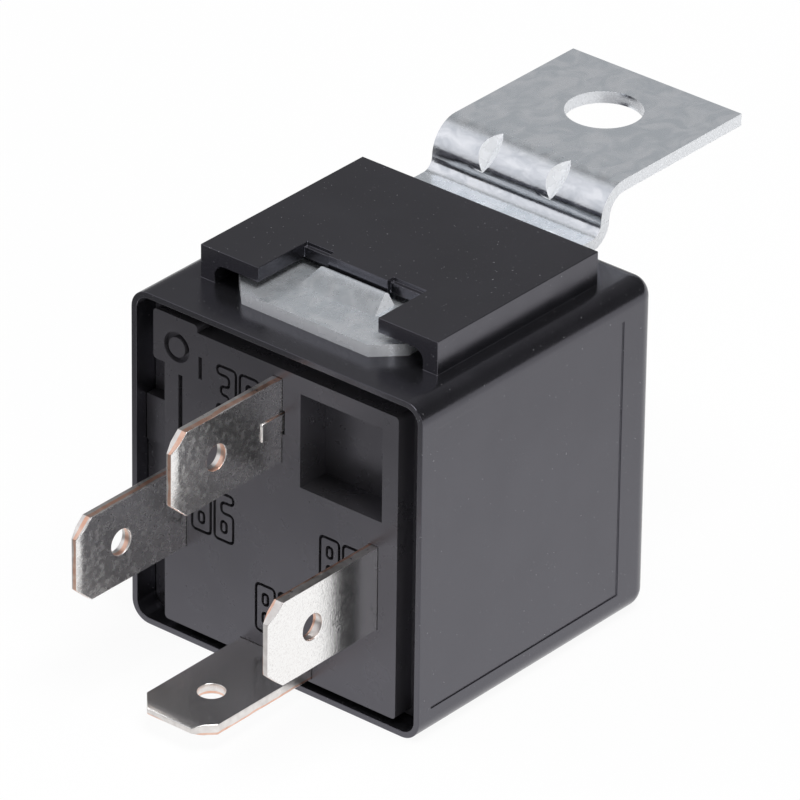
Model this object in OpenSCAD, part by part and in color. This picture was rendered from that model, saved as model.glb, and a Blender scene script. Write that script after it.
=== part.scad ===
// Four-terminal automotive relay: a moulded cover over a base with four blade
// terminals, a steel mounting bracket latched in a rail on top of the cover,
// and the coil, armature and contacts inside.
//
// Frame: the origin is the centre of the face the relay rests on. +Z points up
// to the rail, -Y points out of the terminals and +X to the right of them.

/* [Case] */
// Width of the cover
case_w = 25.4; // [24:0.1:30]
// Height of the cover, without the rail
case_h = 25.6; // [24:0.1:30]
// Depth of the cover, from its open rim to its back
case_d = 24.5; // [22.5:0.1:30]
// Radius of the cover's outer edges
case_r = 1.5; // [1.1:0.1:2.5]
// Wall of the cover around the mechanism
wall = 0.9; // [0.8:0.05:1.1]
// Thinner wall of the open rim
rim_wall = 0.45; // [0.35:0.05:0.6]
// Depth of the shallow panel in each side
panel_depth = 0.1; // [0.05:0.05:0.2]
// Margin of the side panel from the cover's edges
panel_margin = 2.2; // [1.8:0.1:4]
// How far the sunk panel stops short of the back
panel_back = 3.5; // [2:0.1:5]

/* [Rail] */
// Width of the rail on top of the cover
rail_w = 20.6; // [19.6:0.1:23]
// Length of the rail
rail_len = 16.7; // [14:0.1:18]
// Height of the rail above the cover
rail_h = 2.5; // [2.3:0.1:4]
// Distance from the rim to the front of the rail
rail_setback = 4; // [2:0.1:4.5]
// Sideways offset of the rail from the middle of the cover
rail_shift = 0.25; // [0:0.05:0.5]
// Thickness of the rail's two legs
leg_t = 1.25; // [0.8:0.05:1.6]
// Thickness of the rail's roof
roof_t = 1.1; // [0.8:0.05:1.2]
// Width of the latch window in the roof
window_w = 10.4; // [8:0.1:13]
// Length of the latch window
window_len = 4.7; // [4:0.1:6]
// Width of the tongue that the bracket's bump catches on
tongue_w = 5.2; // [3:0.1:6]
// Length of the tongue
tongue_len = 0.35; // [0.2:0.05:0.8]
// Step in the window's back edge on both sides of the tongue
window_step = 0.3; // [0.2:0.05:0.5]
// Sideways play of the bracket between its guides
guide_play = 0.1; // [0.05:0.05:0.3]

/* [Bracket] */
// Thickness of the bracket's sheet
sheet_t = 0.9; // [0.7:0.05:1]
// Width of the bracket
bracket_w = 14.8; // [13.5:0.1:16]
// How far the bracket reaches in front of the rail
bracket_front = 1.05; // [0.5:0.05:2]
// Chamfer of the bracket's two front corners
front_chamfer = 1.9; // [1:0.1:2.5]
// Flat foot between the rail and the bend
foot_len = 3.3; // [2:0.1:6]
// Height of the step from the foot up to the mounting tab
step_h = 3.3; // [3:0.1:6]
// Inner radius of the lower bend
lower_bend_r = 0.9; // [0.5:0.1:1.2]
// Flat length of the mounting tab
tab_len = 12.75; // [11.5:0.05:20]
// Diameter of the mounting hole
hole_d = 5.5; // [4.3:0.1:6.5]
// Distance from the hole's centre to the end of the tab
hole_edge = 5.75; // [4.5:0.05:7]
// Distance between the two gussets pressed across the bends
gusset_pitch = 5.9; // [4:0.1:8]
// Width of a gusset's trough
gusset_w = 1.5; // [1:0.1:2.5]
// Depth of a gusset's trough
gusset_depth = 0.55; // [0.3:0.05:0.6]
// Width of the latch bump
bump_w = 5.6; // [4:0.1:7]
// Length of the latch bump
bump_len = 2; // [1.4:0.1:2.4]
// How far the latch bump stands up in front of the tongue
bump_catch = 0.4; // [0.2:0.05:0.6]
// Play between the latch bump and the tongue
latch_play = 0.1; // [0.05:0.05:0.2]

/* [Terminals] */
// Width of a blade
blade_w = 6.3; // [4.8:0.1:6.3]
// Thickness of a blade
blade_t = 0.8; // [0.6:0.05:0.9]
// How far the blades reach out of the rim
blade_reach = 10.65; // [8:0.05:14]
// Diameter of the hole in a blade
blade_hole_d = 1.95; // [1.4:0.05:2.2]
// Distance from the tip to the hole's centre
blade_hole_tip = 4.3; // [3.5:0.1:5]
// Length of the chamfers at a blade's tip
tip_chamfer = 1.35; // [0.8:0.05:1.8]
// Length of the thinned edge along the tip
tip_bevel = 0.65; // [0.3:0.05:0.9]
// Distance between the blades of the two coil terminals
coil_pitch = 16.8; // [16:0.1:17.6]
// Height of the coil terminals' middle below the cover's middle
coil_drop = 2.4; // [1.5:0.1:3]
// Plastic left between terminal 30 and the plate's top edge
edge_30 = 0.75; // [0.5:0.05:1.2]
// Plastic left between terminal 87 and the plate's bottom edge
edge_87 = 0.3; // [0.25:0.05:0.4]

/* [Base] */
// Distance of the base's face behind the rim
face_recess = 0.25; // [0.1:0.05:0.6]
// Depth of the groove around the base's face
groove_depth = 1.65; // [1.2:0.05:2]
// Width of the groove on the left
groove_left = 2.3; // [1.5:0.05:2.5]
// Width of the groove on the right
groove_right = 1.8; // [1.2:0.05:2]
// Width of the groove on top
groove_top = 1.2; // [1.1:0.05:1.4]
// Width of the groove at the bottom
groove_bottom = 0.45; // [0.3:0.05:0.6]
// Thickness of the flange inside the rim
flange_t = 1.1; // [0.8:0.05:1.4]
// Thickness of the block behind the flange
block_t = 2.2; // [1.5:0.05:2.6]
// Play of the base inside the cover
base_play = 0.05; // [0.02:0.01:0.1]
// Side of the square pocket in the face
pocket_w = 7.1; // [4:0.1:7.5]
// Depth of the pocket
pocket_depth = 2.6; // [1:0.1:3]
// Margin between the pocket and the face's right edge
pocket_right = 1.35; // [0.8:0.05:2]
// Margin between the pocket and the face's top edge
pocket_top = 1.3; // [0.8:0.05:2]

/* [Coil] */
// Diameter of the iron core
core_d = 6; // [5:0.1:7]
// Diameter of the core's riveted end
core_tail_d = 4; // [3:0.1:4.5]
// Diameter of the pole head
pole_d = 9.4; // [8:0.1:10]
// Thickness of the pole head
pole_t = 1; // [0.8:0.1:1.4]
// Wall of the bobbin's tube
bobbin_wall = 0.7; // [0.5:0.05:1]
// Side of the bobbin's square flanges
bobbin_w = 13.2; // [12.8:0.1:14]
// Thickness of the bobbin's flanges
bobbin_flange_t = 0.9; // [0.7:0.05:1.1]
// Diameter of the copper winding
winding_d = 12.2; // [11:0.1:12.8]
// Thickness of the tape around the winding
tape_t = 0.1; // [0.05:0.01:0.15]
// Diameter of the coil wire where it leads out
lead_d = 0.25; // [0.15:0.05:0.3]

/* [Armature and contacts] */
// Thickness of the yoke
yoke_t = 1.4; // [1.2:0.1:1.6]
// Width of the yoke
yoke_w = 11; // [9:0.1:12]
// Air between the yoke and the top wall of the cover
yoke_air = 1.6; // [1.4:0.1:2.4]
// Thickness of the armature
armature_t = 1.3; // [1:0.1:1.5]
// Width of the armature
armature_w = 10.4; // [9.6:0.1:11]
// Air between the closed armature and the pole
pole_gap = 0.05; // [0.03:0.01:0.08]
// Opening angle of the armature at rest
open_angle = 2.6; // [1.5:0.1:3]
// Thickness of the contact spring
spring_t = 0.25; // [0.15:0.05:0.3]
// Diameter of the contact buttons
contact_d = 2.8; // [2.4:0.1:3.2]
// Height of the contact buttons
contact_t = 0.6; // [0.4:0.1:0.8]
// Distance between the armature's free end and the contact buttons
contact_clear = 0.5; // [0.4:0.05:0.8]
// Diameter of the rivets' shanks
rivet_d = 1.4; // [1:0.1:1.6]
// Diameter of the rivets' heads
rivet_head_d = 2.2; // [2:0.1:2.6]
// Height of the rivets' heads
rivet_head_t = 0.4; // [0.3:0.05:0.5]
// Air left between the open contacts and the back of the cover
back_air = 0.7; // [0.4:0.1:1.5]

/* [Hidden] */
$fn = 48;
cut = 0.1; // how far a cutting shape runs past the face it opens

// Colours
black = [0.07, 0.07, 0.075];
base_black = [0.16, 0.155, 0.165];
zinc = [0.66, 0.68, 0.7];
tin = [0.76, 0.75, 0.72];
iron = [0.5, 0.5, 0.52];
copper = [0.72, 0.38, 0.2];
bronze = [0.78, 0.57, 0.32];
silver = [0.88, 0.88, 0.86];
nylon = [0.9, 0.88, 0.8];
amber = [0.8, 0.55, 0.15];

// Levels of the mechanism: Y is measured back from the rim, Z from the cover's middle
flange_y = face_recess + groove_depth;
block_y = flange_y + flange_t;
base_back = block_y + block_t;
coil_air = 0.3; // air between the coil's bobbin and the yoke
yoke_top = case_h / 2 - wall - yoke_air;
coil_z = yoke_top - yoke_t - coil_air - bobbin_w / 2;
free_z = coil_z - bobbin_w / 2 + 0.3;
hinge_z = yoke_top - 0.2;
contact_z = free_z - contact_clear - contact_d / 2;
open_lift = (hinge_z - contact_z) * sin(open_angle);
spring_seat = 0.03; // air under and over the spring's riveted leg
pole_y = case_d - wall - back_air - open_lift
    - rivet_head_t - spring_t - armature_t - pole_gap;
bobbin_y = base_back + yoke_t;
winding_y = bobbin_y + bobbin_flange_t;
winding_len = pole_y - pole_t - bobbin_flange_t - winding_y;
armature_y = pole_y + pole_gap;
spring_y = armature_y + armature_t;

strip_top = case_h / 2 + sheet_t;

// The base's face and the terminals in it
face_left = -case_w / 2 + rim_wall + groove_left;
face_right = case_w / 2 - rim_wall - groove_right;
face_top = case_h / 2 - rim_wall - groove_top;
face_bottom = -case_h / 2 + rim_wall + groove_bottom;
blade_30_z = face_top - edge_30 - blade_w / 2;
blade_87_z = face_bottom + edge_87 + blade_t / 2;
slot_play = 0.04;
stamp_len = 2.4; // raised stamping on terminal 30, where it enters the base
stamp_h = 1.35;
stamp_t = 0.12;
stamp_z = -0.1;
stake_gap = 1.1; // yoke left between the core's tail and the staked tab
stake_w = 2.6;
stake_z = coil_z + core_tail_d / 2 + stake_gap + stake_w / 2;
post_w = 1;
post_end = winding_y + 2.6;
lead_y = winding_y + 0.7;

// The bracket, measured back from the rim
strip_y = rail_setback - bracket_front;
bend_y = rail_setback + rail_len + foot_len;
upper_bend_r = step_h - lower_bend_r - sheet_t;
tab_y = bend_y + lower_bend_r + upper_bend_r + sheet_t;
tab_end = tab_y + tab_len;
tab_top = strip_top + step_h;
bend_axis_z = strip_top + lower_bend_r;

// ---------------------------------------------------------------- helpers

// Moves to the middle of the open rim: Y then counts back into the case.
module at_rim() {
    translate([0, -case_d / 2, case_h / 2]) children();
}

// Extrudes an (x, z) profile back along Y.
module along_y(len) {
    translate([0, len, 0]) rotate([90, 0, 0]) linear_extrude(len) children();
}

// Extrudes a (y, z) profile along X, centred on X = 0.
module across_x(len) {
    translate([-len / 2, 0, 0]) rotate([90, 0, 90]) linear_extrude(len) children();
}

// A rectangle with exact round corners, centred.
module rounded_rect(w, h, r) {
    square([w - 2 * r, h], center = true);
    square([w, h - 2 * r], center = true);
    for (x = [-1, 1], z = [-1, 1])
        translate([x * (w / 2 - r), z * (h / 2 - r)]) circle(r);
}

// A quarter ring between two radii, in the quadrant that starts at turn degrees.
module quarter_ring(r_in, r_out, turn) {
    rotate(turn) intersection() {
        difference() {
            circle(r_out);
            circle(r_in);
        }
        square(r_out + cut);
    }
}

// Turns a part about the armature's hinge, as it is at rest.
module opened() {
    translate([0, armature_y, hinge_z]) rotate([open_angle, 0, 0])
        translate([0, -armature_y, -hinge_z]) children();
}

// ---------------------------------------------------------------- cover

// The cover's outside, with round long edges and a round back.
module case_outside() {
    inner_w = case_w - 2 * case_r;
    inner_h = case_h - 2 * case_r;
    along_y(case_d - case_r) rounded_rect(case_w, case_h, case_r);
    along_y(case_d) square([inner_w, inner_h], center = true);
    translate([0, case_d - case_r, 0]) {
        for (z = [-1, 1])
            translate([-inner_w / 2, 0, z * inner_h / 2])
                rotate([0, 90, 0]) cylinder(r = case_r, h = inner_w);
        for (x = [-1, 1])
            translate([x * inner_w / 2, 0, -inner_h / 2])
                cylinder(r = case_r, h = inner_h);
        for (x = [-1, 1], z = [-1, 1])
            translate([x * inner_w / 2, 0, z * inner_h / 2]) sphere(case_r);
    }
}

// The rail's section: two legs and a roof with filleted inner corners.
module rail_section() {
    fillet = 0.8;
    inner_w = rail_w - 2 * leg_t;
    inner_top = rail_h - roof_t;
    difference() {
        translate([-rail_w / 2, -cut]) square([rail_w, rail_h + cut]);
        translate([-inner_w / 2, 0]) square([inner_w, inner_top - fillet]);
        translate([-inner_w / 2 + fillet, 0]) square([inner_w - 2 * fillet, inner_top]);
        for (x = [-1, 1])
            translate([x * (inner_w / 2 - fillet), inner_top - fillet]) circle(fillet);
    }
}

// The window in the roof, with the tongue left standing at its stepped back edge.
module latch_window() {
    tongue_y = window_len - tongue_len;
    translate([-window_w / 2, 0, rail_h]) difference() {
        union() {
            translate([0, -cut, -roof_t - cut]) cube([window_w, window_len + cut, roof_t + 2 * cut]);
            translate([0, 0, -window_step])
                cube([window_w, window_len + window_step, window_step + cut]);
        }
        translate([window_w / 2 - rail_shift - tongue_w / 2, tongue_y, -roof_t - 2 * cut])
            cube([tongue_w, tongue_len + 1, roof_t + 4 * cut]);
    }
}

// The rail with its window and the two guides beside the bracket.
module rail() {
    guide_y = window_len + 1;
    guide_in = bracket_w / 2 + guide_play;
    translate([rail_shift, rail_setback, case_h / 2]) {
        difference() {
            along_y(rail_len) rail_section();
            latch_window();
        }
        for (side = [-1, 1]) {
            leg_in = side * (rail_w / 2 - leg_t + cut);
            edge = side * guide_in - rail_shift;
            translate([min(leg_in, edge), guide_y, -cut])
                cube([abs(leg_in - edge), rail_len - guide_y, sheet_t + cut]);
        }
    }
}

module side_panels() {
    panel_len = case_d - panel_back - 1.3;
    panel_h = case_h - 2 * panel_margin;
    for (x = [-1, 1])
        translate([x * case_w / 2, 1.3 + panel_len / 2, 0])
            cube([2 * panel_depth, panel_len, panel_h], center = true);
}

module cover() {
    color(black) at_rim() {
        difference() {
            case_outside();
            translate([0, -cut, 0]) along_y(block_y + cut)
                rounded_rect(case_w - 2 * rim_wall, case_h - 2 * rim_wall, case_r - rim_wall);
            translate([0, -cut, 0]) along_y(case_d - wall + cut)
                rounded_rect(case_w - 2 * wall, case_h - 2 * wall, max(case_r - wall, 0.2));
            side_panels();
        }
        rail();
    }
}

// ---------------------------------------------------------------- base

// The raised face of the base, with the key at its top left corner.
module face_outline() {
    key_w = 3.9;
    key_h = 3.8;
    key_left = 1;
    key_up = 0.55;
    round_r = 0.3;
    face_w = face_right - face_left;
    face_h = face_top - face_bottom;
    translate([(face_left + face_right) / 2, (face_top + face_bottom) / 2])
        rounded_rect(face_w, face_h, round_r);
    translate([face_left - key_left + key_w / 2, face_top + key_up - key_h / 2])
        rounded_rect(key_w, key_h, round_r);
}

// A shallower ledge in the left groove, in two steps.
module left_ledge() {
    ledge_x = -case_w / 2 + rim_wall + base_play;
    ledge_w = face_left - ledge_x + cut;
    for (step = [[0.4, 3.5, 0.75], [-7.5, 7.9, 0.9]])
        translate([ledge_x, face_recess + step[2], step[0] + 0.5])
            cube([ledge_w, groove_depth - step[2] + cut, step[1]]);
}

// Cuts the slots that the four terminals stand in.
module terminal_slots() {
    slot_t = blade_t + 2 * slot_play;
    slot_w = blade_w + 2 * slot_play;
    deep = base_back + 2 * cut;
    translate([-slot_t / 2, -cut, blade_30_z - slot_w / 2]) cube([slot_t, deep, slot_w]);
    for (x = [-1, 1])
        translate([x * coil_pitch / 2 - slot_t / 2, -cut, -coil_drop - slot_w / 2])
            cube([slot_t, deep, slot_w]);
    translate([-slot_w / 2, -cut, blade_87_z - slot_t / 2]) cube([slot_w, deep, slot_t]);
    // relief for the stamping on terminal 30
    relief_h = stamp_h + 4 * stamp_t;
    translate([0, -cut, blade_30_z + stamp_z - relief_h / 2])
        cube([blade_t / 2 + 2 * stamp_t, face_recess + 0.6 + cut, relief_h]);
    // behind the flange the slot of terminal 87 is open to the block's edge
    translate([-slot_w / 2, block_y, -case_h / 2]) cube([slot_w, deep, case_h / 2 + blade_87_z]);
}

module base() {
    inner_r = case_r - rim_wall - base_play;
    block_play = 3 * base_play;
    color(base_black) at_rim() difference() {
        union() {
            translate([0, face_recess, 0]) along_y(groove_depth + cut) face_outline();
            translate([0, flange_y, 0]) along_y(flange_t)
                rounded_rect(case_w - 2 * (rim_wall + base_play),
                             case_h - 2 * (rim_wall + base_play), inner_r);
            translate([0, block_y - cut, 0]) along_y(block_t + cut)
                rounded_rect(case_w - 2 * (wall + block_play),
                             case_h - 2 * (wall + block_play), 0.5);
            left_ledge();
        }
        terminal_slots();
        // square pocket between terminal 30 and the right edge
        translate([face_right - pocket_right - pocket_w, face_recess - cut,
                   face_top - pocket_top - pocket_w])
            cube([pocket_w, pocket_depth + cut, pocket_w]);
    }
}

// ---------------------------------------------------------------- bracket

// The bracket's section from the side: strip, two bends and tab.
module bracket_section() {
    translate([strip_y, strip_top - sheet_t]) square([bend_y - strip_y, sheet_t]);
    translate([bend_y, bend_axis_z])
        quarter_ring(lower_bend_r, lower_bend_r + sheet_t, 270);
    translate([tab_y, bend_axis_z])
        quarter_ring(upper_bend_r, upper_bend_r + sheet_t, 90);
    translate([tab_y, tab_top - sheet_t]) square([tab_len, sheet_t]);
}

// The bracket's outline from above, which trims the front corners and the end.
module bracket_outline() {
    half = bracket_w / 2;
    polygon([
        [-half + front_chamfer, strip_y], [half - front_chamfer, strip_y],
        [half, strip_y + front_chamfer], [half, tab_end],
        [-half, tab_end], [-half, strip_y + front_chamfer]
    ]);
}

// A V-shaped bar along the 45 degree line that cuts the corner of the upper bend.
// Sunk by one sheet, it gives the ridge below that belongs to the trough above.
module gusset_bar(sink) {
    bar_len = 2 * (upper_bend_r + sheet_t);
    bar_h = gusset_depth + 1;
    half = gusset_w / 2 * bar_h / gusset_depth;
    translate([0, tab_y, bend_axis_z]) rotate([45, 0, 0])
        translate([0, -bar_len / 2, upper_bend_r + sheet_t - gusset_depth - sink])
            along_y(bar_len) polygon([[0, 0], [half, bar_h], [-half, bar_h]]);
}

// Everything behind and below the outer face of the upper bend.
module behind_bend() {
    reach = upper_bend_r + sheet_t / 2;
    translate([tab_y, bend_axis_z]) {
        intersection() {
            circle(upper_bend_r + sheet_t);
            translate([-step_h, 0]) square(step_h);
        }
        translate([-reach, -lower_bend_r / 2]) square([reach, lower_bend_r / 2 + cut]);
        translate([-cut, 0]) square([1 + cut, upper_bend_r + sheet_t]);
    }
}

// The latch bump: a ramp that rises to the back, with slanted sides.
module latch_bump(w) {
    bump_h = rail_h - roof_t - sheet_t + bump_catch;
    back = rail_setback + window_len - tongue_len - latch_play;
    crest = back - 0.4;
    slant = 0.5;
    intersection() {
        across_x(w + 2) translate([0, strip_top]) polygon([
            [back - bump_len, 0], [crest, bump_h], [back - 0.12, bump_h * 0.9],
            [back, 0], [back, -cut], [back - bump_len, -cut]
        ]);
        translate([0, back - bump_len - 1, strip_top]) along_y(bump_len + 2) polygon([
            [-w / 2 - slant, -cut], [w / 2 + slant, -cut], [w / 2 + slant, 0],
            [w / 2, bump_h], [-w / 2, bump_h], [-w / 2 - slant, 0]
        ]);
    }
}

module mounting_bracket() {
    color(zinc) at_rim() difference() {
        union() {
            intersection() {
                across_x(bracket_w) bracket_section();
                translate([0, 0, case_h / 2 - 1]) linear_extrude(step_h + 4) bracket_outline();
            }
            latch_bump(bump_w);
            for (side = [-1, 1]) translate([side * gusset_pitch / 2, 0, 0]) intersection() {
                gusset_bar(sheet_t);
                across_x(3 * gusset_w) behind_bend();
            }
        }
        for (side = [-1, 1]) translate([side * gusset_pitch / 2, 0, 0]) gusset_bar(0);
        // mounting hole
        translate([0, tab_end - hole_edge, tab_top - sheet_t - 1])
            cylinder(d = hole_d, h = sheet_t + 2);
        // hollow under the bump
        translate([0, -sheet_t / 2, -sheet_t]) latch_bump(bump_w - sheet_t);
    }
}

// ---------------------------------------------------------------- terminals

// A blade standing on edge, from its tip to inner_y, centred on X and Z = 0.
module blade(inner_y) {
    edge_t = blade_t * 0.5;
    tip = -blade_reach;
    half_w = blade_w / 2;
    difference() {
        intersection() {
            across_x(blade_t) polygon([
                [tip, -half_w + tip_chamfer * 0.9], [tip + tip_chamfer, -half_w],
                [inner_y, -half_w], [inner_y, half_w],
                [tip + tip_chamfer, half_w], [tip, half_w - tip_chamfer * 0.9]
            ]);
            translate([0, 0, -half_w]) linear_extrude(blade_w) polygon([
                [-edge_t / 2, tip], [edge_t / 2, tip],
                [blade_t / 2, tip + tip_bevel], [blade_t / 2, inner_y],
                [-blade_t / 2, inner_y], [-blade_t / 2, tip + tip_bevel]
            ]);
        }
        translate([-blade_t, tip + blade_hole_tip, 0])
            rotate([0, 90, 0]) cylinder(d = blade_hole_d, h = 2 * blade_t);
    }
}

// Terminal 30 is staked through the foot of the yoke.
module terminal_30() {
    color(tin) at_rim() translate([0, 0, blade_30_z]) {
        blade(base_back);
        translate([-blade_t / 2, base_back - cut, stake_z - blade_30_z - stake_w / 2])
            cube([blade_t, yoke_t + cut, stake_w]);
        // raised stamping beside the plate
        translate([0, face_recess + 0.3 - stamp_len, stamp_z - stamp_h / 2])
            cube([blade_t / 2 + stamp_t, stamp_len, stamp_h]);
    }
}

// A coil terminal: a blade that ends in a post for the coil's lead.
module coil_terminal(side) {
    color(tin) at_rim() translate([side * coil_pitch / 2, 0, -coil_drop]) {
        blade(base_back + 0.6);
        translate([-blade_t / 2, base_back, -post_w / 2])
            cube([blade_t, post_end - base_back, post_w]);
    }
}

module terminal_85() {
    coil_terminal(1);
}

module terminal_86() {
    coil_terminal(-1);
}

// Terminal 87 runs up beside the coil and turns over to carry the fixed contact.
fixed_face = spring_y - contact_t - 0.05;
shelf_y = fixed_face - contact_t - blade_t;
shelf_end = contact_z + contact_d / 2 + 0.2;

module terminal_87() {
    bend_r = 0.3;
    outer_r = bend_r + blade_t;
    low = blade_87_z - blade_t / 2;
    color(tin) at_rim() difference() {
        union() {
            translate([0, 0, blade_87_z]) rotate([0, 90, 0]) blade(shelf_y + blade_t - outer_r);
            across_x(blade_w) {
                translate([shelf_y + blade_t - outer_r, low + outer_r])
                    quarter_ring(bend_r, outer_r, 270);
                translate([shelf_y, low + outer_r])
                    square([blade_t, shelf_end - low - outer_r]);
            }
        }
        translate([0, shelf_y - cut, contact_z])
            along_y(blade_t + 2 * cut) circle(rivet_d / 2);
    }
}

// ---------------------------------------------------------------- coil

module bobbin() {
    arm_t = 1;
    arm_w = 1.6;
    arm_x = blade_w / 2 + 0.25;
    edge_z = coil_z - bobbin_w / 2;
    upper_y = pole_y - pole_t - bobbin_flange_t;
    stop_y = armature_y + armature_t * cos(open_angle)
        + (hinge_z - free_z) * sin(open_angle) + 0.03;
    color(nylon) at_rim() {
        difference() {
            union() {
                translate([0, 0, coil_z]) {
                    translate([0, bobbin_y, 0]) along_y(pole_y - pole_t - bobbin_y)
                        circle(core_d / 2 + bobbin_wall);
                    for (y = [bobbin_y, upper_y])
                        translate([0, y, 0]) along_y(bobbin_flange_t)
                            rounded_rect(bobbin_w, bobbin_w, 1);
                }
                // two arms with hooks that stop the open armature
                for (side = [-1, 1]) {
                    left = side * (arm_x + arm_w / 2) - arm_w / 2;
                    translate([left, upper_y, edge_z - arm_t])
                        cube([arm_w, stop_y - upper_y + 0.8, arm_t]);
                    translate([left, upper_y, edge_z - arm_t])
                        cube([arm_w, bobbin_flange_t, arm_t + 1.5]);
                    translate([left, stop_y, edge_z - cut])
                        cube([arm_w, 0.8, 1.3 + cut]);
                }
            }
            translate([0, bobbin_y - cut, coil_z])
                along_y(pole_y - bobbin_y) circle(core_d / 2 + 0.05);
        }
    }
}

module coil_winding() {
    play = 0.02;
    color(copper) at_rim() translate([0, winding_y + play, coil_z])
        along_y(winding_len - 2 * play) difference() {
            circle(winding_d / 2);
            circle(core_d / 2 + bobbin_wall + play);
        }
}

module coil_tape() {
    end_gap = 1.4;
    color(amber) at_rim() translate([0, winding_y + end_gap, coil_z])
        along_y(winding_len - 2 * end_gap) difference() {
            circle(winding_d / 2 + tape_t);
            circle(winding_d / 2);
        }
}

// One end of the coil wire: straight out to the post, then three turns round it.
module coil_lead(side) {
    turns = 3;
    turn_r = norm([blade_t, post_w]) / 2 + lead_d / 2 + 0.03;
    post = [side * coil_pitch / 2, -coil_drop];
    axis = [0, coil_z];
    away = (post - axis) / norm(post - axis);
    begin = axis + away * (winding_d / 2 + 0.02);
    reach = norm(post - begin) - turn_r;
    color(copper) at_rim() {
        translate([begin[0], lead_y, begin[1]])
            rotate([0, 90 - atan2(away[1], away[0]), 0]) cylinder(d = lead_d, h = reach);
        for (i = [0:turns - 1])
            translate([post[0], lead_y + i * lead_d * 0.96, post[1]])
                rotate([90, 0, 0]) rotate_extrude() translate([turn_r, 0]) circle(d = lead_d);
    }
}

module coil_lead_85() {
    coil_lead(1);
}

module coil_lead_86() {
    coil_lead(-1);
}

module core() {
    color(iron) at_rim() translate([0, 0, coil_z]) {
        translate([0, base_back, 0]) along_y(yoke_t + cut) circle(core_tail_d / 2);
        translate([0, bobbin_y, 0]) along_y(pole_y - bobbin_y) circle(core_d / 2);
        translate([0, pole_y - pole_t, 0]) along_y(pole_t) circle(pole_d / 2);
    }
}

// ---------------------------------------------------------------- yoke and armature

spring_leg_w = 8;
yoke_rivet_x = 2.8;
yoke_rivet_y = base_back + 6;

module yoke() {
    outer_r = 1.2;
    foot_end = coil_z - core_tail_d / 2 - 2.2;
    inner = yoke_top - yoke_t;
    color(iron) at_rim() difference() {
        across_x(yoke_w) {
            translate([base_back, foot_end]) square([yoke_t, inner - foot_end]);
            translate([base_back + yoke_t, inner])
                square([pole_y - base_back - yoke_t, yoke_t]);
            translate([base_back + yoke_t, inner])
                intersection() {
                    circle(yoke_t);
                    translate([-yoke_t, 0]) square(yoke_t);
                }
        }
        translate([0, base_back - cut, coil_z])
            along_y(yoke_t + 2 * cut) circle(core_tail_d / 2 + 0.03);
        translate([-blade_t / 2 - slot_play, base_back - cut, stake_z - stake_w / 2 - slot_play])
            cube([blade_t + 2 * slot_play, yoke_t + 2 * cut, stake_w + 2 * slot_play]);
        for (x = [-1, 1])
            translate([x * yoke_rivet_x, yoke_rivet_y, inner - cut])
                cylinder(d = rivet_d + 0.06, h = yoke_t + 2 * cut);
    }
}

module yoke_rivets() {
    head_z = yoke_t + spring_t + 2 * spring_seat;
    color(iron) at_rim() for (x = [-1, 1])
        translate([x * yoke_rivet_x, yoke_rivet_y, yoke_top - yoke_t]) {
            cylinder(d = rivet_d, h = head_z + cut);
            translate([0, 0, head_z])
                cylinder(d1 = rivet_head_d, d2 = rivet_d + 0.2, h = rivet_head_t);
        }
}

armature_rivet_x = 2.4;
armature_rivet_drop = 4.2;
armature_rivet_z = hinge_z - armature_rivet_drop;

module armature() {
    chamfer = 0.45;
    half = armature_w / 2;
    color(iron) at_rim() opened() difference() {
        across_x(armature_w) polygon([
            [armature_y, free_z], [armature_y, hinge_z],
            [armature_y + armature_t - chamfer, hinge_z],
            [armature_y + armature_t, hinge_z - chamfer],
            [armature_y + armature_t, free_z]
        ]);
        for (x = [-1, 1])
            translate([x * armature_rivet_x, armature_y - cut, armature_rivet_z])
                along_y(armature_t + 2 * cut) circle(rivet_d / 2 + 0.03);
    }
}

module armature_rivets() {
    color(iron) at_rim() opened() for (x = [-1, 1])
        translate([x * armature_rivet_x, armature_y, armature_rivet_z]) {
            along_y(armature_t + spring_t + cut) circle(rivet_d / 2);
            translate([0, armature_t + spring_t, 0])
                along_y(rivet_head_t) circle(rivet_head_d / 2);
        }
}

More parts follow.
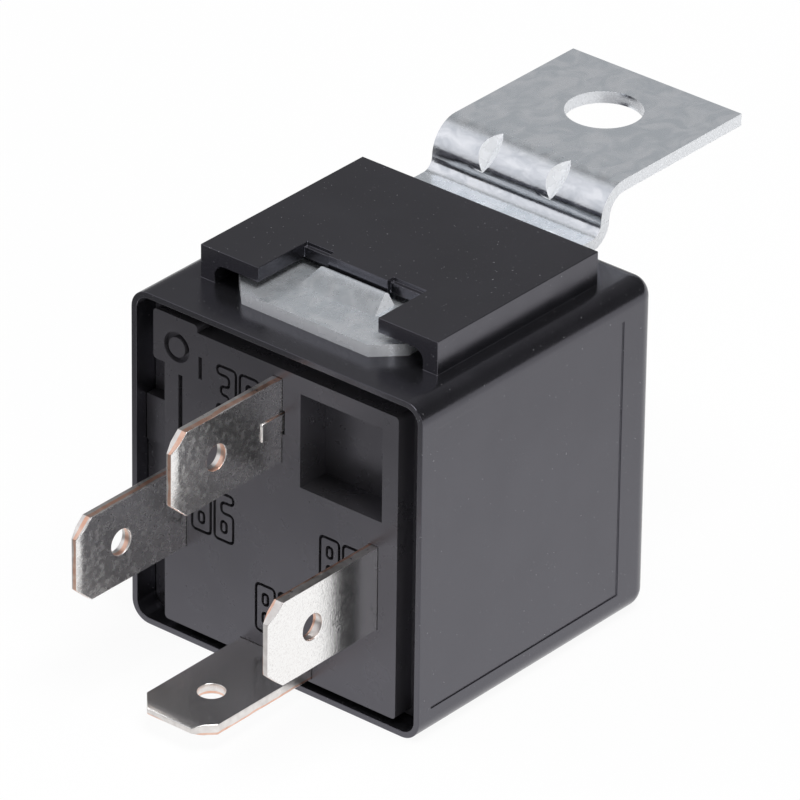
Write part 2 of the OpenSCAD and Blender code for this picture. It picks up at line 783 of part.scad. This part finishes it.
// The leaf that carries the moving contact, hinges the armature and returns it.
module contact_spring() {
    neck_w = 4.2;
    free_end = contact_z - contact_d / 2 - 0.1;
    bend_r = 1.1;
    bend_z = hinge_z - 0.4;
    leg_end = yoke_rivet_y - 2;
    // centre of the bend, carried round by the open armature
    arm = [spring_y - bend_r - armature_y, bend_z - hinge_z];
    centre = [armature_y + arm[0] * cos(open_angle) - arm[1] * sin(open_angle),
              hinge_z + arm[0] * sin(open_angle) + arm[1] * cos(open_angle)];
    leg_z = centre[1] + bend_r;
    low_z = yoke_top + spring_seat;
    reach = bend_r + spring_t + cut;
    color(bronze) at_rim() difference() {
        union() {
            opened() translate([0, spring_y, 0]) along_y(spring_t) polygon([
                [-neck_w / 2, free_end], [neck_w / 2, free_end],
                [neck_w / 2, free_z + 1.5], [spring_leg_w / 2, free_z + 4],
                [spring_leg_w / 2, bend_z], [-spring_leg_w / 2, bend_z],
                [-spring_leg_w / 2, free_z + 4], [-neck_w / 2, free_z + 1.5]
            ]);
            across_x(spring_leg_w) {
                translate(centre) intersection() {
                    difference() {
                        circle(bend_r + spring_t);
                        circle(bend_r);
                    }
                    polygon([[0, 0], reach * 2 * [cos(open_angle), sin(open_angle)],
                             [reach * 2, reach * 2], [0, reach * 2]]);
                }
                polygon([
                    [centre[0], leg_z], [centre[0] - 1.2, leg_z],
                    [centre[0] - 2.6, low_z], [leg_end, low_z],
                    [leg_end, low_z + spring_t], [centre[0] - 2.6, low_z + spring_t],
                    [centre[0] - 1.2, leg_z + spring_t], [centre[0], leg_z + spring_t]
                ]);
            }
        }
        // window that leaves two straps over the hinge
        translate([-1.7, centre[0] - 4, hinge_z - 1.6]) cube([3.4, 8, 5]);
        for (x = [-1, 1])
            translate([x * yoke_rivet_x, yoke_rivet_y, yoke_top - cut])
                cylinder(d = rivet_d + 0.06, h = spring_t + 2 * cut);
        opened() {
            for (x = [-1, 1])
                translate([x * armature_rivet_x, spring_y - cut, armature_rivet_z])
                    along_y(spring_t + 2 * cut) circle(rivet_d / 2 + 0.03);
            translate([0, spring_y - cut, contact_z])
                along_y(spring_t + 2 * cut) circle(rivet_d / 2);
        }
    }
}

module moving_contact() {
    color(silver) at_rim() opened() translate([0, spring_y, contact_z]) {
        translate([0, -contact_t, 0]) along_y(contact_t) circle(contact_d / 2);
        translate([0, -cut, 0]) along_y(spring_t + cut + rivet_head_t) circle(rivet_d / 2);
        translate([0, spring_t, 0]) along_y(rivet_head_t) circle(rivet_head_d / 2);
    }
}

module fixed_contact() {
    color(silver) at_rim() translate([0, shelf_y, contact_z]) {
        translate([0, blade_t, 0]) along_y(contact_t) circle(contact_d / 2);
        along_y(blade_t + cut) circle(rivet_d / 2);
        translate([0, -rivet_head_t, 0]) along_y(rivet_head_t) circle(rivet_head_d / 2);
    }
}

// ---------------------------------------------------------------- assembly

cover();
base();
mounting_bracket();
terminal_30();
terminal_85();
terminal_86();
terminal_87();
bobbin();
coil_winding();
coil_tape();
coil_lead_85();
coil_lead_86();
core();
yoke();
yoke_rivets();
armature();
contact_spring();
armature_rivets();
moving_contact();
fixed_contact();
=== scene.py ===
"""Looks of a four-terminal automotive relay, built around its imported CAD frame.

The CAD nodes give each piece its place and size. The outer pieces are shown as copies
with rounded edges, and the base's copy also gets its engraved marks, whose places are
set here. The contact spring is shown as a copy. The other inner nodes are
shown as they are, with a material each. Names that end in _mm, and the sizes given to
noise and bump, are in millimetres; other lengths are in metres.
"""

import math

import bmesh
import bpy
from mathutils import Matrix, Vector


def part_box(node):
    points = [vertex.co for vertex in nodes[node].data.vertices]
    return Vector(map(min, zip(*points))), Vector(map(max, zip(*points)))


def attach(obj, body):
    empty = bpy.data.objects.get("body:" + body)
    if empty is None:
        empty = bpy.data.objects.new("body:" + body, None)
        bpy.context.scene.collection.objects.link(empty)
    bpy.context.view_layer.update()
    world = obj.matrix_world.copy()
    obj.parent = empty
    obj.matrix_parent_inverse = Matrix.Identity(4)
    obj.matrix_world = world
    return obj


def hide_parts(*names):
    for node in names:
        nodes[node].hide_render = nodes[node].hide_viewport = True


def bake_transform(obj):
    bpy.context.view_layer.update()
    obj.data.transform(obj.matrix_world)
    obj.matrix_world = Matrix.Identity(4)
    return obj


MM = 0.001
X, Z = 0, 2

# The blades' thickness, and for each blade its thin axis, its middle on that axis in
# millimetres, and where bare copper shows on its cut edges, from -1 at one face of the
# strip to 1 at the other.
STRIP_MM = 0.8
BLADES = {
    "30": (X, 0, -0.1, 0.9),
    "85": (X, 8.4, -1.5, -0.5),
    "86": (X, -8.4, -0.2, 0.6),
    "87": (Z, 1.6, -0.9, -0.5),
}

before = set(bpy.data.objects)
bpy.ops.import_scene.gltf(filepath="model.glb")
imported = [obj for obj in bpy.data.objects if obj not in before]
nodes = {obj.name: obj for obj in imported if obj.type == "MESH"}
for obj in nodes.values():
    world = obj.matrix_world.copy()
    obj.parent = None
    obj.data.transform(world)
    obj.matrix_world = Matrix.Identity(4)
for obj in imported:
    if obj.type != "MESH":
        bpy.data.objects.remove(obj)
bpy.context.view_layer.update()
scene = bpy.context.scene


# ------------------------------------------------------------------ camera


def add_camera():
    """The photograph's view: a long lens from the front right, above the relay."""
    azimuth, elevation, roll = map(math.radians, (39.72, 29.29, 0.76))
    target = Vector((1.48, -1.11, 17.42)) * MM
    distance = 603.8 * MM
    back = Vector((
        math.sin(azimuth) * math.cos(elevation),
        -math.cos(azimuth) * math.cos(elevation),
        math.sin(elevation),
    ))
    data = bpy.data.cameras.new("camera")
    data.lens = 405.2
    data.sensor_width = 36.0
    data.clip_start = 0.01
    data.clip_end = 20
    camera = bpy.data.objects.new("camera", data)
    camera.rotation_mode = "QUATERNION"
    turn = Matrix.Rotation(roll, 4, "Z").to_quaternion()
    camera.rotation_quaternion = (-back).to_track_quat("-Z", "Y") @ turn
    camera.location = target + back * distance
    scene.collection.objects.link(camera)
    scene.camera = camera


# ------------------------------------------------------------------ materials


class Tree:
    """Builds nodes in one node tree."""

    def __init__(self, tree):
        self.tree = tree

    def node(self, kind, **values):
        """A new node. Each value goes to the input or the setting of its name."""
        made = self.tree.nodes.new(kind)
        for key, value in values.items():
            if key in made.inputs:
                made.inputs[key].default_value = value
            else:
                setattr(made, key, value)
        return made

    def link(self, source, target):
        self.tree.links.new(source, target)

    def split(self, vector):
        """The X, Y and Z of a vector."""
        made = self.node("ShaderNodeSeparateXYZ")
        self.link(vector, made.inputs[0])
        return made.outputs

    def along(self, vector, direction):
        """How far a vector reaches along direction."""
        made = self.node("ShaderNodeVectorMath", operation="DOT_PRODUCT")
        self.link(vector, made.inputs[0])
        made.inputs[1].default_value = direction
        return made.outputs["Value"]

    def calculate(self, operation, *values):
        """The result of a math node; each value is a number or a node's output."""
        made = self.node("ShaderNodeMath", operation=operation)
        for socket, value in zip(made.inputs, values):
            if isinstance(value, (int, float)):
                socket.default_value = value
            else:
                self.link(value, socket)
        return made.outputs[0]

    def ramp(self, source, low, high, start=0.3, end=0.7):
        """Maps source from start..end to low..high."""
        made = self.node("ShaderNodeMapRange")
        made.inputs["From Min"].default_value = start
        made.inputs["From Max"].default_value = end
        made.inputs["To Min"].default_value = low
        made.inputs["To Max"].default_value = high
        self.link(source, made.inputs["Value"])
        return made.outputs["Result"]

    def mix_shaders(self, share, first, second):
        """The first shader, with share of the second."""
        made = self.node("ShaderNodeMixShader")
        for socket, source in zip(made.inputs, (share, first, second)):
            self.link(source, socket)
        return made.outputs[0]


class Shader(Tree):
    """A material, built around its Principled BSDF."""

    def __init__(self, name, color, roughness, metallic=0.0):
        self.material = bpy.data.materials.new(name)
        self.material.use_nodes = True
        super().__init__(self.material.node_tree)
        self.bsdf = self.tree.nodes["Principled BSDF"]
        self.bsdf.inputs["Base Color"].default_value = (*color, 1)
        self.bsdf.inputs["Roughness"].default_value = roughness
        self.bsdf.inputs["Metallic"].default_value = metallic
        coordinates = self.node("ShaderNodeTexCoord")
        self.place = coordinates.outputs["Object"]
        self.facing = coordinates.outputs["Normal"]

    def stretched(self, scale):
        """The object's coordinates in millimetres, scaled along each axis."""
        mapping = self.node("ShaderNodeMapping")
        mapping.inputs["Scale"].default_value = [value / MM for value in scale]
        self.link(self.place, mapping.inputs["Vector"])
        return mapping.outputs["Vector"]

    def noise(self, size_mm, detail=3.0, stretch=(1, 1, 1), distortion=0.0):
        """Noise whose features are about size_mm across, from 0 to 1."""
        made = self.node(
            "ShaderNodeTexNoise", Detail=detail, Distortion=distortion, Scale=1.0
        )
        scale = [value / size_mm for value in stretch]
        self.link(self.stretched(scale), made.inputs["Vector"])
        return made.outputs["Fac"]

    def mix(self, factor, first, second):
        """A colour between two others, each a tuple or a node's output."""
        made = self.node("ShaderNodeMix", data_type="RGBA")
        self.link(factor, made.inputs[0])
        for socket, value in ((made.inputs[6], first), (made.inputs[7], second)):
            if isinstance(value, tuple):
                socket.default_value = (*value, 1)
            else:
                self.link(value, socket)
        return made.outputs[2]

    def bump(self, height, depth_mm, below=None):
        """A bumpy normal; below is a coarser one that it lies on."""
        made = self.node("ShaderNodeBump", Strength=1.0)
        made.inputs["Distance"].default_value = depth_mm * MM
        self.link(height, made.inputs["Height"])
        if below is not None:
            self.link(below, made.inputs["Normal"])
        return made.outputs["Normal"]

    def set(self, name, source):
        self.link(source, self.bsdf.inputs[name])


def moulded_plastic(name, dark, light, roughness, grain_mm, grain_depth_mm, ior):
    """Black moulded plastic: soft sink waves, a fine skin grain and dust specks."""
    made = Shader(name, dark, roughness[0])
    cloud = made.noise(6.0, detail=4)
    specks = made.ramp(made.noise(0.16, detail=1), 0, 1, 0.76, 0.8)
    shade = made.mix(made.ramp(cloud, 0, 1), dark, light)
    made.set("Base Color", made.mix(specks, shade, (0.22, 0.22, 0.23)))
    made.set("Roughness", made.ramp(made.noise(2.4, detail=5), *roughness))
    sink = made.bump(made.noise(7.0, detail=1), 0.05)
    grain = made.noise(grain_mm, detail=6)
    made.set("Normal", made.bump(grain, grain_depth_mm, below=sink))
    made.bsdf.inputs["IOR"].default_value = ior
    made.bsdf.inputs["Specular Tint"].default_value = (0.88, 0.86, 1.0, 1)
    return made.material


def zinc_sheet():
    """Zinc-plated steel: cloudy flats; shinier bends, whose darker mottled colour is
    painted dark reflection; paler, duller cut edges; and the gussets' flanks painted
    pale as a highlight.
    """
    made = Shader("zinc_plate", (0.78, 0.81, 0.85), 0.25, metallic=0.72)
    facing = made.split(made.facing)
    level = made.calculate("ABSOLUTE", facing["Z"])
    sideways = made.calculate("ABSOLUTE", facing["X"])
    # 0 on the cut edges and the gussets' flanks, and 1 elsewhere. Both get a paler,
    # less metallic finish: on the cut edges it is the sheared steel, on the gussets'
    # flanks it is a painted highlight.
    off_edge_and_flank_highlight = made.calculate(
        "MULTIPLY",
        made.ramp(level, 0, 1, 0.03, 0.1),
        made.ramp(sideways, 1, 0, 0.15, 0.35),
    )
    # 1 on the bends, and 0 on the level faces and the edges. The bends are shinier, and
    # their darker, bluer, mottled colour is painted dark reflection.
    on_bends = made.calculate(
        "MULTIPLY", made.ramp(level, 1, 0, 0.82, 0.98), off_edge_and_flank_highlight
    )
    clouds = made.noise(1.6, detail=7, stretch=(1, 0.7, 1), distortion=1.2)
    flat = made.mix(
        made.ramp(clouds, 0, 1, 0.4, 0.62), (0.74, 0.785, 0.83), (0.87, 0.90, 0.94)
    )
    # Mottle of the bends' painted dark reflection.
    bend_mottle = made.noise(0.8, detail=7, stretch=(0.5, 1, 1), distortion=0.8)
    bend_metal_with_painted_dark_reflection = made.mix(
        made.ramp(bend_mottle, 0, 1, 0.35, 0.65), (0.64, 0.67, 0.72), (0.86, 0.88, 0.92)
    )
    # Off the bends: the flats' cloudy tone, and pale on the cut edges and on the
    # gussets' flanks, where the pale is a painted highlight.
    off_bend_colour = made.mix(off_edge_and_flank_highlight, (0.90, 0.92, 0.95), flat)
    # The bends take the colour with the painted dark reflection; the other faces take
    # the colour for off the bends.
    made.set("Base Color", made.mix(on_bends, off_bend_colour, bend_metal_with_painted_dark_reflection))
    made.set("Metallic", made.calculate(
        "MULTIPLY",
        made.ramp(on_bends, 0.72, 1.0, 0, 1),
        made.ramp(off_edge_and_flank_highlight, 0.3, 1, 0, 1),
    ))
    made.set("Roughness", made.calculate(
        "MULTIPLY",
        made.ramp(made.noise(0.8, detail=6), 0.2, 0.34),
        made.ramp(on_bends, 1, 0.6, 0, 1),
    ))
    lines = made.bump(made.noise(0.12, detail=3, stretch=(1, 0.08, 1)), 0.004)
    dents = made.bump(made.noise(1.0, detail=3), 0.014, below=lines)
    made.set("Normal", made.bump(made.noise(0.25, detail=4), 0.002, below=dents))
    return made.material


def tinned_strip(name, dents_mm, roughness):
    """Tin-plated copper strip, finely pitted. Its dents and roughness show its wear."""
    made = Shader(name, (0.92, 0.91, 0.90), 0.2, metallic=0.95)
    grain = made.noise(0.12, detail=5)
    tone = made.ramp(grain, 0, 1, 0.3, 0.5)
    made.set("Base Color", made.mix(tone, (0.82, 0.80, 0.79), (0.94, 0.93, 0.92)))
    patches = made.noise(0.45, detail=7)
    made.set("Roughness", made.ramp(patches, *roughness, 0.25, 0.75))
    waves = made.bump(made.noise(1.4, detail=3, distortion=0.5), 2 * dents_mm)
    dents = made.bump(made.noise(0.36, detail=5), dents_mm, below=waves)
    made.set("Normal", made.bump(grain, 0.010, below=dents))
    return made.material


def cut_edge(name, axis, middle_mm, low, high):
    """A strip's cut edge: tin smeared over it, and bare copper from low to high.

    axis is the strip's thin axis and middle_mm its place on it. low and high count
    from -1 at one face to 1 at the other.
    """
    made = Shader(name, (0.80, 0.42, 0.28), 0.3, metallic=1.0)
    half_mm = STRIP_MM / 2
    across = made.ramp(
        made.split(made.place)[axis], -1, 1,
        (middle_mm - half_mm) * MM, (middle_mm + half_mm) * MM,
    )
    wobble = made.ramp(made.noise(2.0, detail=2), -0.3, 0.3, 0.2, 0.8)
    place = made.calculate("ADD", across, wobble)
    band = made.calculate("COMPARE", place, (low + high) / 2, (high - low) / 2)
    grain = made.ramp(made.noise(0.6, detail=3), 0, 1)
    copper = made.mix(grain, (0.78, 0.44, 0.32), (0.90, 0.64, 0.53))
    tin = made.mix(grain, (0.72, 0.68, 0.66), (0.90, 0.87, 0.85))
    made.set("Base Color", made.mix(band, tin, copper))
    made.set("Roughness", made.ramp(made.noise(0.5), 0.26, 0.4))
    made.set("Normal", made.bump(made.noise(0.3), 0.008))
    return made.material


def plain_metal(name, dark, light, roughness, grain_mm=0.4):
    """An inner metal piece: two tones, fine grain."""
    made = Shader(name, light, roughness, metallic=1.0)
    tone = made.ramp(made.noise(grain_mm * 4), 0, 1)
    made.set("Base Color", made.mix(tone, dark, light))
    rough = made.ramp(made.noise(grain_mm), roughness, roughness + 0.15)
    made.set("Roughness", rough)
    made.set("Normal", made.bump(made.noise(grain_mm / 3), 0.004))
    return made.material


def wound_wire():
    """Enamelled wire, with its turns as ridges 0.2 mm apart along the coil's axis, and
    painted shade in the grooves between them.
    """
    made = Shader("enamelled_copper", (0.66, 0.30, 0.14), 0.28, metallic=0.9)
    wave = made.node(
        "ShaderNodeTexWave", wave_type="BANDS", bands_direction="Y", Scale=1.0
    )
    made.link(made.stretched((1, 1.6, 1)), wave.inputs["Vector"])
    ridges = wave.outputs["Fac"]
    # Darker between the turns: painted shade in the grooves.
    made.set("Base Color", made.mix(ridges, (0.42, 0.17, 0.08), (0.74, 0.36, 0.17)))
    made.set("Normal", made.bump(ridges, 0.06))
    return made.material


def amber_tape():
    """The glossy tape round the coil."""
    made = Shader("coil_tape", (0.72, 0.45, 0.08), 0.25)
    tone = made.noise(3.0)
    made.set("Base Color", made.mix(tone, (0.62, 0.36, 0.05), (0.80, 0.53, 0.12)))
    made.set("Normal", made.bump(made.noise(1.0), 0.02))
    return made.material


def nylon():
    """The natural nylon of the bobbin, which lets a little light in."""
    made = Shader("nylon", (0.84, 0.81, 0.72), 0.45)
    tone = made.noise(4.0)
    made.set("Base Color", made.mix(tone, (0.80, 0.76, 0.66), (0.88, 0.86, 0.79)))
    made.set("Normal", made.bump(made.noise(0.2), 0.004))
    made.bsdf.inputs["Subsurface Weight"].default_value = 0.1
    made.bsdf.inputs["Subsurface Scale"].default_value = 0.3 * MM
    return made.material


# ------------------------------------------------------------------ pieces


def add_object(name, bm):
    """A new object with bm as its mesh."""
    mesh = bpy.data.meshes.new(name)
    bm.to_mesh(mesh)
    bm.free()
    made = bpy.data.objects.new(name, mesh)
    scene.collection.objects.link(made)
    return made


def tidy_copy(node, name):
    """A copy of a CAD node's mesh with its flat faces whole again."""
    merge_mm = 1e-4
    flat_angle = math.radians(0.3)
    bm = bmesh.new()
    bm.from_mesh(nodes[node].data)
    bmesh.ops.remove_doubles(bm, verts=bm.verts, dist=merge_mm * MM)
    bmesh.ops.dissolve_limit(
        bm, angle_limit=flat_angle, verts=bm.verts, edges=bm.edges
    )
    return add_object(name, bm)


def round_edges(piece, width_mm, segments=3, angle=34):
    """Rounds every edge that is sharper than angle, and keeps the flats flat."""
    bevel = piece.modifiers.new("edges", "BEVEL")
    bevel.width = width_mm * MM
    bevel.segments = segments
    bevel.limit_method = "ANGLE"
    bevel.angle_limit = math.radians(angle)
    bevel.use_clamp_overlap = True
    flat = piece.modifiers.new("flats", "WEIGHTED_NORMAL")
    flat.weight = 100
    flat.keep_sharp = True
    piece.data.shade_smooth()


def keep_creases(piece, low=9, high=60):
    """Keeps the creases between low and high degrees crisp."""
    bm = bmesh.new()
    bm.from_mesh(piece.data)
    for edge in bm.edges:
        edge.smooth = not low < math.degrees(edge.calc_face_angle(0)) < high
    bm.to_mesh(piece.data)
    bm.free()


def apply_modifiers(piece):
    """Turns the piece's modifiers into mesh."""
    graph = bpy.context.evaluated_depsgraph_get()
    mesh = bpy.data.meshes.new_from_object(piece.evaluated_get(graph))
    piece.modifiers.clear()
    old = piece.data
    piece.data = mesh
    bpy.data.meshes.remove(old)


def dress(node, materials, edge_mm, segments=3, angle=34):
    """Shows a CAD node of the housing as a copy with rounded edges."""
    piece = tidy_copy(node, node + "_shown")
    for material in materials:
        piece.data.materials.append(material)
    round_edges(piece, edge_mm, segments, angle)
    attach(piece, "housing")
    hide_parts(node)
    return piece


def paint(node, material):
    """Gives a CAD node that is shown as it is its only material."""
    slots = nodes[node].data.materials
    slots.clear()
    slots.append(material)


def paint_cut_edges(piece, thin_axis):
    """Gives the second material to the faces that the die cut, along thin_axis."""
    for face in piece.data.polygons:
        is_cut = abs(face.normal[thin_axis]) < 0.1
        face.material_index = 1 if is_cut else 0


# ------------------------------------------------------------------ marks


def rounded(points, radius, steps=4):
    """A closed outline with its corners rounded."""
    outline = []
    count = len(points)
    for i, corner in enumerate(points):
        corner = Vector(corner)
        before = Vector(points[i - 1])
        after = Vector(points[(i + 1) % count])
        a, b = before - corner, after - corner
        reach = min(radius, a.length / 2, b.length / 2)
        start = corner + a.normalized() * reach
        end = corner + b.normalized() * reach
        for k in range(steps + 1):
            t = k / steps
            outline.append(start.lerp(corner, t).lerp(corner.lerp(end, t), t))
    return outline


def groove(bm, outline, width, depth, y, closed=True):
    """A square bar along an outline of (x, z) points, centred on the plane y."""
    count = len(outline)
    rings = []
    for i, point in enumerate(outline):
        before = outline[i - 1] if closed or i else point
        after = outline[(i + 1) % count] if closed or i < count - 1 else point
        along = (after - before).normalized()
        side = Vector((-along.y, along.x)) * width / 2
        left, right = point - side, point + side
        rings.append([
            bm.verts.new((corner.x, y + dy, corner.y))
            for corner, dy in (
                (left, -depth), (right, -depth), (right, depth), (left, depth)
            )
        ])
    for i in range(count if closed else count - 1):
        a, b = rings[i], rings[(i + 1) % count]
        for k in range(4):
            bm.faces.new((a[k], a[(k + 1) % 4], b[(k + 1) % 4], b[k]))
    if not closed:
        bm.faces.new(reversed(rings[0]))
        bm.faces.new(rings[-1])


def digit_outlines(digit):
    """The outlines of a block digit in a cell 1 wide and 2 high.

    t is the thickness of its stroke and m the foot of its middle bar.
    """
    t = 0.36
    m = (2 - t) / 2
    whole = [(0, 0), (1, 0), (1, 2), (0, 2)]
    low_hole = [(t, t), (1 - t, t), (1 - t, m), (t, m)]
    high_hole = [(t, m + t), (1 - t, m + t), (1 - t, 2 - t), (t, 2 - t)]
    hole = [(t, t), (1 - t, t), (1 - t, 2 - t), (t, 2 - t)]
    three = [
        (0, 0), (1, 0), (1, 2), (0, 2), (0, 2 - t), (1 - t, 2 - t),
        (1 - t, m + t), (0.2, m + t), (0.2, m), (1 - t, m), (1 - t, t), (0, t),
    ]
    five = [
        (0, 0), (1, 0), (1, m + t), (t, m + t), (t, 2 - t), (1, 2 - t),
        (1, 2), (0, 2), (0, m), (1 - t, m), (1 - t, t), (0, t),
    ]
    six = [
        (0, 0), (1, 0), (1, m + t), (t, m + t), (t, 2 - t), (1, 2 - t), (1, 2), (0, 2)
    ]
    seven = [
        (0.25, 0), (0.25 + t, 0), (1, 2 - t), (1, 2), (0, 2), (0, 2 - t), (0.56, 2 - t)
    ]
    return {
        "0": [whole, hole],
        "3": [three],
        "5": [five],
        "6": [six, low_hole],
        "7": [seven],
        "8": [whole, low_hole, high_hole],
    }[digit]


def engraving(face_y):
    """The cutter for all marks in the base's face: numbers, a ring and two bars."""
    depth = 0.45 * MM
    bm = bmesh.new()

    line, corner = 0.22 * MM, 0.35 * MM
    cell_w, cell_h, gap = 1.65 * MM, 3.6 * MM, 0.35 * MM
    lower_left_mm = {
        "30": (-5.3, 18.6), "86": (-7.5, 8.9), "87": (-1.8, 3.2), "85": (3.8, 9.0)
    }
    for text, (left, low) in lower_left_mm.items():
        for place, digit in enumerate(text):
            x = left * MM + place * (cell_w + gap)
            for outline in digit_outlines(digit):
                points = [
                    (x + u * cell_w, low * MM + v / 2 * cell_h) for u, v in outline
                ]
                groove(bm, rounded(points, corner), line, depth, face_y)

    ring_radius_mm, ring_line_mm, ring_sides = 0.93, 0.4, 32
    centre = Vector((-8.87, 22.2)) * MM
    ring = [
        centre + Vector((math.cos(a), math.sin(a))) * ring_radius_mm * MM
        for a in (2 * math.pi * k / ring_sides for k in range(ring_sides))
    ]
    groove(bm, ring, ring_line_mm * MM, depth, face_y)

    bars_mm = ((-6.8, 20.5, 22.2, 0.3), (-8.55, 15.7, 20.2, 0.36))
    for x, low, high, width in bars_mm:
        bar = [Vector((x, low)) * MM, Vector((x, high)) * MM]
        groove(bm, bar, width * MM, depth, face_y, closed=False)

    bmesh.ops.recalc_face_normals(bm, faces=bm.faces)
    return add_object("engraving", bm)


# ------------------------------------------------------------------ relay


def show_base(material):
    """The base, with the marks cut into its face."""
    piece = tidy_copy("base", "base_shown")
    piece.data.materials.append(material)
    cutter = engraving(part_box("base")[0].y)
    cut = piece.modifiers.new("marks", "BOOLEAN")
    cut.object = cutter
    cut.operation = "DIFFERENCE"
    cut.solver = "EXACT"
    cut.use_self = True
    apply_modifiers(piece)
    bpy.data.objects.remove(cutter)
    round_edges(piece, 0.035, segments=2)
    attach(piece, "housing")
    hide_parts("base")


def show_spring(material):
    """The leaf, which flexes between its riveted leg and the armature; shown here as a
    still copy.
    """
    piece = tidy_copy("contact_spring", "contact_spring_shown")
    piece.data.materials.append(material)
    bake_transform(piece)
    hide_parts("contact_spring")


def show_relay():
    """Every CAD node with its finish."""
    cover = moulded_plastic(
        "cover_plastic", dark=(0.008, 0.008, 0.009), light=(0.012, 0.012, 0.014),
        roughness=(0.18, 0.27), grain_mm=0.09, grain_depth_mm=0.004, ior=1.95,
    )
    base = moulded_plastic(
        "base_plastic", dark=(0.034, 0.033, 0.036), light=(0.044, 0.042, 0.046),
        roughness=(0.24, 0.34), grain_mm=0.07, grain_depth_mm=0.005, ior=1.8,
    )
    zinc = zinc_sheet()
    worn_tin = tinned_strip("worn_tin", dents_mm=0.012, roughness=(0.1, 0.38))
    smooth_tin = tinned_strip("smooth_tin", dents_mm=0.002, roughness=(0.08, 0.2))
    wire = wound_wire()
    iron = plain_metal("soft_iron", (0.40, 0.40, 0.42), (0.60, 0.60, 0.61), 0.35)
    bronze = plain_metal("bronze", (0.62, 0.42, 0.22), (0.80, 0.60, 0.36), 0.25)
    silver = plain_metal(
        "contact_silver", (0.78, 0.78, 0.76), (0.92, 0.92, 0.90), 0.18
    )

    dress("cover", [cover], 0.09)
    show_base(base)
    bracket = dress("mounting_bracket", [zinc], 0.07, angle=60)
    keep_creases(bracket)
    for name, (axis, middle_mm, low, high) in BLADES.items():
        edge = cut_edge("cut_edge_" + name, axis, middle_mm, low, high)
        tin = worn_tin if name in ("30", "86") else smooth_tin
        blade = dress("terminal_" + name, [tin, edge], 0.05, 2)
        paint_cut_edges(blade, axis)

    for material, names in (
        (wire, ("coil_winding", "coil_lead_85", "coil_lead_86")),
        (amber_tape(), ("coil_tape",)),
        (nylon(), ("bobbin",)),
        (iron, ("core", "yoke", "yoke_rivets", "armature", "armature_rivets")),
        (silver, ("moving_contact", "fixed_contact")),
    ):
        for name in names:
            paint(name, material)
    show_spring(bronze)


# ------------------------------------------------------------------ stage and light


def add_floor():
    """A floor that the camera sees white, with a faint shadow of the relay.

    In reflections it is brightest near the relay, and darker far off and to the
    front left. It lies just below the face on which the relay rests.
    """
    drop_mm = 0.02
    seen_white = 0.93
    bpy.ops.mesh.primitive_plane_add(size=6, location=(0, 0, -drop_mm * MM))
    floor = bpy.context.object
    floor.name = "floor"
    made = Shader("floor", (0.95, 0.95, 0.95), 0.9)
    rays = made.node("ShaderNodeLightPath").outputs
    seen, glossy = rays["Is Camera Ray"], rays["Is Glossy Ray"]
    far = made.node("ShaderNodeVectorMath", operation="LENGTH")
    made.link(made.place, far.inputs[0])
    near_light = made.ramp(far.outputs["Value"], 1.0, 0.8, 0.03, 0.09)
    to_back_right = made.along(made.place, (0.64, 0.77, 0))
    side_light = made.ramp(to_back_right, 0.25, 1.0, -0.052, -0.014)
    gloss = made.calculate("MULTIPLY", near_light, side_light)
    mirrored = made.calculate("MULTIPLY", gloss, glossy)
    brightness = made.calculate("MAXIMUM", seen, mirrored)
    white = made.calculate("MULTIPLY", seen, seen_white)
    share = made.calculate("MAXIMUM", white, glossy)
    glow = made.node("ShaderNodeEmission", Color=(1, 1, 1, 1))
    made.link(brightness, glow.inputs["Strength"])
    both = made.mix_shaders(share, made.bsdf.outputs[0], glow.outputs[0])
    made.link(both, made.tree.nodes["Material Output"].inputs["Surface"])
    floor.data.materials.append(made.material)


def add_world():
    """White to the camera, and a grey sky to everything else.

    The sky is pale at the upper front left, with a dark and then a faint ring round
    that, and dark elsewhere.
    """
    front_left = (-0.745, -0.447, 0.497)
    blue = 1.02
    stops = (
        (0.0, 0.10), (0.30, 0.05), (0.55, 0.12), (0.66, 0.25), (0.70, 0.25),
        (0.78, 0.08), (0.84, 0.10), (0.92, 0.75), (1.0, 0.95),
    )
    world = bpy.data.worlds.new("studio")
    world.use_nodes = True
    made = Tree(world.node_tree)
    made.tree.nodes.clear()
    direction = made.node("ShaderNodeTexCoord").outputs["Generated"]
    nearness = made.ramp(made.along(direction, front_left), 0, 1, -1, 1)
    greys = made.node("ShaderNodeValToRGB")
    made.link(nearness, greys.inputs[0])
    elements = greys.color_ramp.elements
    while len(elements) < len(stops):
        elements.new(0.5)
    for element, (position, grey) in zip(elements, stops):
        element.position = position
        element.color = (grey, grey, grey * blue, 1)
    sky = made.node("ShaderNodeBackground")
    made.link(greys.outputs[0], sky.inputs["Color"])
    white = made.node("ShaderNodeBackground", Color=(1, 1, 1, 1))
    seen = made.node("ShaderNodeLightPath").outputs["Is Camera Ray"]
    both = made.mix_shaders(seen, sky.outputs[0], white.outputs[0])
    made.link(both, made.node("ShaderNodeOutputWorld").inputs["Surface"])
    scene.world = world


def add_softbox(name, place, size, watts):
    """A square area light at place, facing the relay's middle."""
    middle = Vector((0, 0, 0.012))
    data = bpy.data.lights.new(name, "AREA")
    data.size = size
    data.energy = watts
    lamp = bpy.data.objects.new(name, data)
    lamp.location = place
    lamp.rotation_mode = "QUATERNION"
    lamp.rotation_quaternion = (middle - lamp.location).to_track_quat("-Z", "Y")
    scene.collection.objects.link(lamp)


add_camera()
show_relay()
add_floor()
add_world()
add_softbox("key", place=(0.2, 0.0, 0.9), size=0.5, watts=6.5)
add_softbox("fill", place=(0.9, -0.3, 0.35), size=0.5, watts=2.0)
scene.view_settings.view_transform = "Standard"
